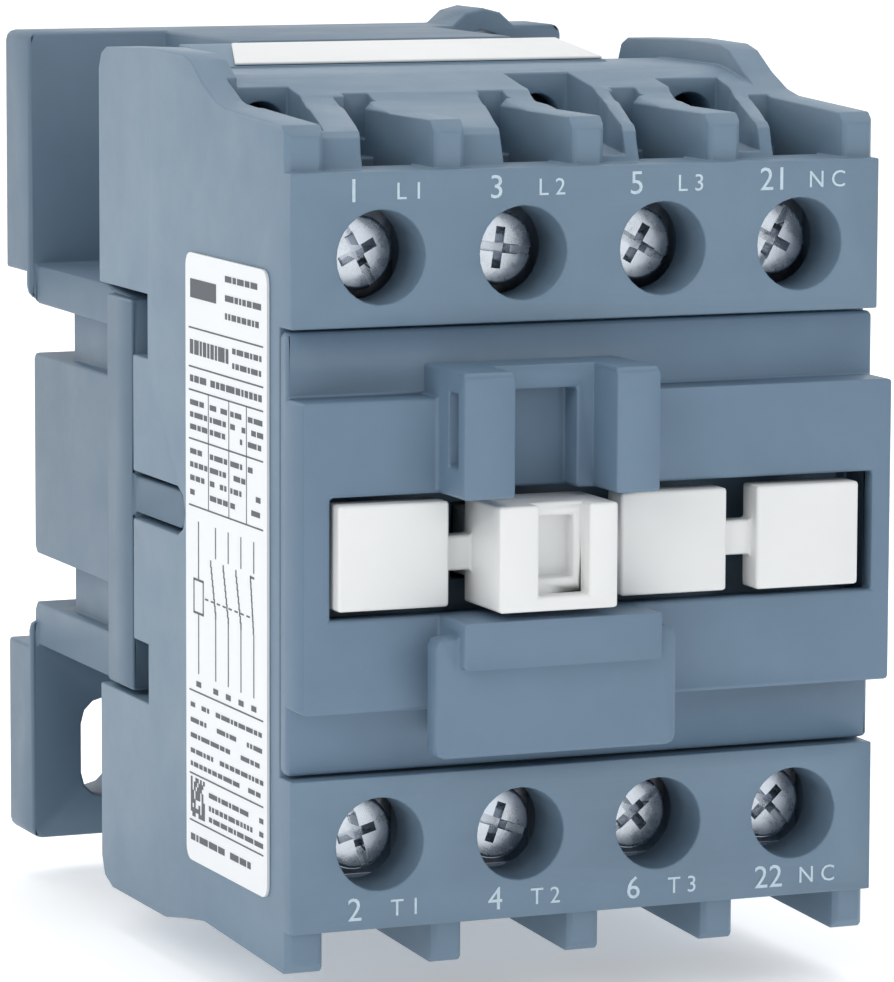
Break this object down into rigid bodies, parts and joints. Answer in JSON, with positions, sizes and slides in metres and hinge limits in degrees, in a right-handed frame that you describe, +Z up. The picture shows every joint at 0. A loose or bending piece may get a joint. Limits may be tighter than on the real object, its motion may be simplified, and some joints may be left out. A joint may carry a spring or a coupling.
{
  "type": "din rail contactor",
  "caption": "Four-pole rail-mounted contactor with screw terminals, spring-returned contact carrier, coil magnet, retaining brackets and a rail latch.",
  "frame": {"origin": "on the plane of the rail's front face, at the middle of the width and of the 35 mm rail", "axes": "+X to the right seen from the front, +Y to the back and the rail, +Z up; the front faces -Y"},
  "size_m": [0.0563, 0.0866, 0.0846],
  "materials": {
    "body_plastic": "moulded blue-grey thermoplastic, fine matt texture",
    "white_plastic": "smooth white thermoplastic",
    "label": "white self-adhesive film with grey print",
    "core_steel": "laminated electrical steel",
    "copper": "copper alloy with silver contact tips",
    "rubber": "matt",
    "bobbin_plastic": "smooth",
    "winding": "enamelled wire",
    "plated_steel": "zinc plated, slightly worn",
    "spring_steel": "drawn wire",
    "dark_plastic": "glass-filled, matt"
  },
  "bodies": {
    "housing": {"base": "body_plastic", "front_housing": "body_plastic", "front_cover": "body_plastic", "side_label": "label", "top_marker": "white_plastic", "fixed_core": "core_steel", "shading_ring_left": "copper", "shading_ring_right": "copper", "core_pad": "rubber", "coil_bobbin": "bobbin_plastic", "coil_winding": "winding", "coil_terminal_a1": "plated_steel", "coil_terminal_a2": "plated_steel", "terminal_upper_1": "copper", "terminal_lower_1": "copper", "terminal_upper_2": "copper", "terminal_lower_2": "copper", "terminal_upper_3": "copper", "terminal_lower_3": "copper", "terminal_upper_4": "copper", "terminal_lower_4": "copper", "return_spring_upper": "spring_steel", "return_spring_lower": "spring_steel", "latch_spring": "spring_steel"},
    "contact_carrier": {"contact_carrier": "dark_plastic", "marker_strip": "white_plastic", "armature": "core_steel", "armature_pin": "core_steel", "contact_bridge_4": "copper", "contact_spring_1": "spring_steel", "contact_spring_2": "spring_steel", "contact_spring_3": "spring_steel", "contact_spring_4": "spring_steel"},
    "bridge_1": {"contact_bridge_1": "copper"},
    "bridge_2": {"contact_bridge_2": "copper"},
    "bridge_3": {"contact_bridge_3": "copper"},
    "clamp_upper_1": {"clamp_upper_1": "plated_steel"},
    "screw_upper_1": {"screw_upper_1": "plated_steel"},
    "clamp_lower_1": {"clamp_lower_1": "plated_steel"},
    "screw_lower_1": {"screw_lower_1": "plated_steel"},
    "clamp_upper_2": {"clamp_upper_2": "plated_steel"},
    "screw_upper_2": {"screw_upper_2": "plated_steel"},
    "clamp_lower_2": {"clamp_lower_2": "plated_steel"},
    "screw_lower_2": {"screw_lower_2": "plated_steel"},
    "clamp_upper_3": {"clamp_upper_3": "plated_steel"},
    "screw_upper_3": {"screw_upper_3": "plated_steel"},
    "clamp_lower_3": {"clamp_lower_3": "plated_steel"},
    "screw_lower_3": {"screw_lower_3": "plated_steel"},
    "clamp_upper_4": {"clamp_upper_4": "plated_steel"},
    "screw_upper_4": {"screw_upper_4": "plated_steel"},
    "clamp_lower_4": {"clamp_lower_4": "plated_steel"},
    "screw_lower_4": {"screw_lower_4": "plated_steel"},
    "coil_screw_a1": {"coil_screw_a1": "plated_steel"},
    "coil_screw_a2": {"coil_screw_a2": "plated_steel"},
    "coil_screw_a2_twin": {"coil_screw_a2_twin": "plated_steel"},
    "rail_latch": {"rail_latch": "dark_plastic"}
  },
  "joints": [
    {"name": "carrier_slide", "type": "slide", "parent": "housing", "child": "contact_carrier", "axis": [0, 1, 0], "range_m": [0, 0.0048], "stiffness_N_per_m": 600, "springref_m": -0.01, "deforming": ["return_spring_upper", "return_spring_lower"]},
    {"name": "bridge_1_overtravel", "type": "slide", "parent": "contact_carrier", "child": "bridge_1", "axis": [0, 1, 0], "range_m": [-0.00105, 0], "deforming": ["contact_spring_1"]},
    {"name": "bridge_2_overtravel", "type": "slide", "parent": "contact_carrier", "child": "bridge_2", "axis": [0, 1, 0], "range_m": [-0.00105, 0], "deforming": ["contact_spring_2"]},
    {"name": "bridge_3_overtravel", "type": "slide", "parent": "contact_carrier", "child": "bridge_3", "axis": [0, 1, 0], "range_m": [-0.00105, 0], "deforming": ["contact_spring_3"]},
    {"name": "clamp_upper_1_travel", "type": "slide", "parent": "housing", "child": "clamp_upper_1", "axis": [0, 1, 0], "range_m": [0, 0.003]},
    {"name": "screw_upper_1_turn", "type": "hinge", "parent": "clamp_upper_1", "child": "screw_upper_1", "pos_m": [-0.01965, -0.06, 0.0255], "axis": [0, 1, 0], "range_deg": [0, 1545]},
    {"name": "clamp_lower_1_travel", "type": "slide", "parent": "housing", "child": "clamp_lower_1", "axis": [0, 1, 0], "range_m": [0, 0.003]},
    {"name": "screw_lower_1_turn", "type": "hinge", "parent": "clamp_lower_1", "child": "screw_lower_1", "pos_m": [-0.01965, -0.06, -0.0257], "axis": [0, 1, 0], "range_deg": [0, 1545]},
    {"name": "clamp_upper_2_travel", "type": "slide", "parent": "housing", "child": "clamp_upper_2", "axis": [0, 1, 0], "range_m": [0, 0.003]},
    {"name": "screw_upper_2_turn", "type": "hinge", "parent": "clamp_upper_2", "child": "screw_upper_2", "pos_m": [-0.00635, -0.06, 0.0255], "axis": [0, 1, 0], "range_deg": [0, 1545]},
    {"name": "clamp_lower_2_travel", "type": "slide", "parent": "housing", "child": "clamp_lower_2", "axis": [0, 1, 0], "range_m": [0, 0.003]},
    {"name": "screw_lower_2_turn", "type": "hinge", "parent": "clamp_lower_2", "child": "screw_lower_2", "pos_m": [-0.00635, -0.06, -0.0257], "axis": [0, 1, 0], "range_deg": [0, 1545]},
    {"name": "clamp_upper_3_travel", "type": "slide", "parent": "housing", "child": "clamp_upper_3", "axis": [0, 1, 0], "range_m": [0, 0.003]},
    {"name": "screw_upper_3_turn", "type": "hinge", "parent": "clamp_upper_3", "child": "screw_upper_3", "pos_m": [0.00695, -0.06, 0.0255], "axis": [0, 1, 0], "range_deg": [0, 1545]},
    {"name": "clamp_lower_3_travel", "type": "slide", "parent": "housing", "child": "clamp_lower_3", "axis": [0, 1, 0], "range_m": [0, 0.003]},
    {"name": "screw_lower_3_turn", "type": "hinge", "parent": "clamp_lower_3", "child": "screw_lower_3", "pos_m": [0.00695, -0.06, -0.0257], "axis": [0, 1, 0], "range_deg": [0, 1545]},
    {"name": "clamp_upper_4_travel", "type": "slide", "parent": "housing", "child": "clamp_upper_4", "axis": [0, 1, 0], "range_m": [0, 0.003]},
    {"name": "screw_upper_4_turn", "type": "hinge", "parent": "clamp_upper_4", "child": "screw_upper_4", "pos_m": [0.02025, -0.06, 0.0255], "axis": [0, 1, 0], "range_deg": [0, 1545]},
    {"name": "clamp_lower_4_travel", "type": "slide", "parent": "housing", "child": "clamp_lower_4", "axis": [0, 1, 0], "range_m": [0, 0.003]},
    {"name": "screw_lower_4_turn", "type": "hinge", "parent": "clamp_lower_4", "child": "screw_lower_4", "pos_m": [0.02025, -0.06, -0.0257], "axis": [0, 1, 0], "range_deg": [0, 1545]},
    {"name": "coil_screw_a1_turn", "type": "hinge", "parent": "housing", "child": "coil_screw_a1", "pos_m": [-0.0222, -0.038, 0.0352], "axis": [0, 1, 0], "continuous": true},
    {"name": "coil_screw_a2_turn", "type": "hinge", "parent": "housing", "child": "coil_screw_a2", "pos_m": [0.0058, -0.038, 0.0352], "axis": [0, 1, 0], "continuous": true},
    {"name": "coil_screw_a2_twin_turn", "type": "hinge", "parent": "housing", "child": "coil_screw_a2_twin", "pos_m": [0.0199, -0.038, 0.0352], "axis": [0, 1, 0], "continuous": true},
    {"name": "rail_latch_slide", "type": "slide", "parent": "housing", "child": "rail_latch", "axis": [0, 0, -1], "range_m": [0, 0.003], "stiffness_N_per_m": 1500, "springref_m": -0.004, "deforming": ["latch_spring"]}
  ],
  "couplings": [
    {"joint": "bridge_1_overtravel", "follows": "carrier_slide", "ratio": -0.21875},
    {"joint": "bridge_2_overtravel", "follows": "carrier_slide", "ratio": -0.21875},
    {"joint": "bridge_3_overtravel", "follows": "carrier_slide", "ratio": -0.21875},
    {"joint": "screw_upper_1_turn", "follows": "clamp_upper_1_travel", "rad_per_m": 8976},
    {"joint": "screw_lower_1_turn", "follows": "clamp_lower_1_travel", "rad_per_m": 8976},
    {"joint": "screw_upper_2_turn", "follows": "clamp_upper_2_travel", "rad_per_m": 8976},
    {"joint": "screw_lower_2_turn", "follows": "clamp_lower_2_travel", "rad_per_m": 8976},
    {"joint": "screw_upper_3_turn", "follows": "clamp_upper_3_travel", "rad_per_m": 8976},
    {"joint": "screw_lower_3_turn", "follows": "clamp_lower_3_travel", "rad_per_m": 8976},
    {"joint": "screw_upper_4_turn", "follows": "clamp_upper_4_travel", "rad_per_m": 8976},
    {"joint": "screw_lower_4_turn", "follows": "clamp_lower_4_travel", "rad_per_m": 8976}
  ]
}
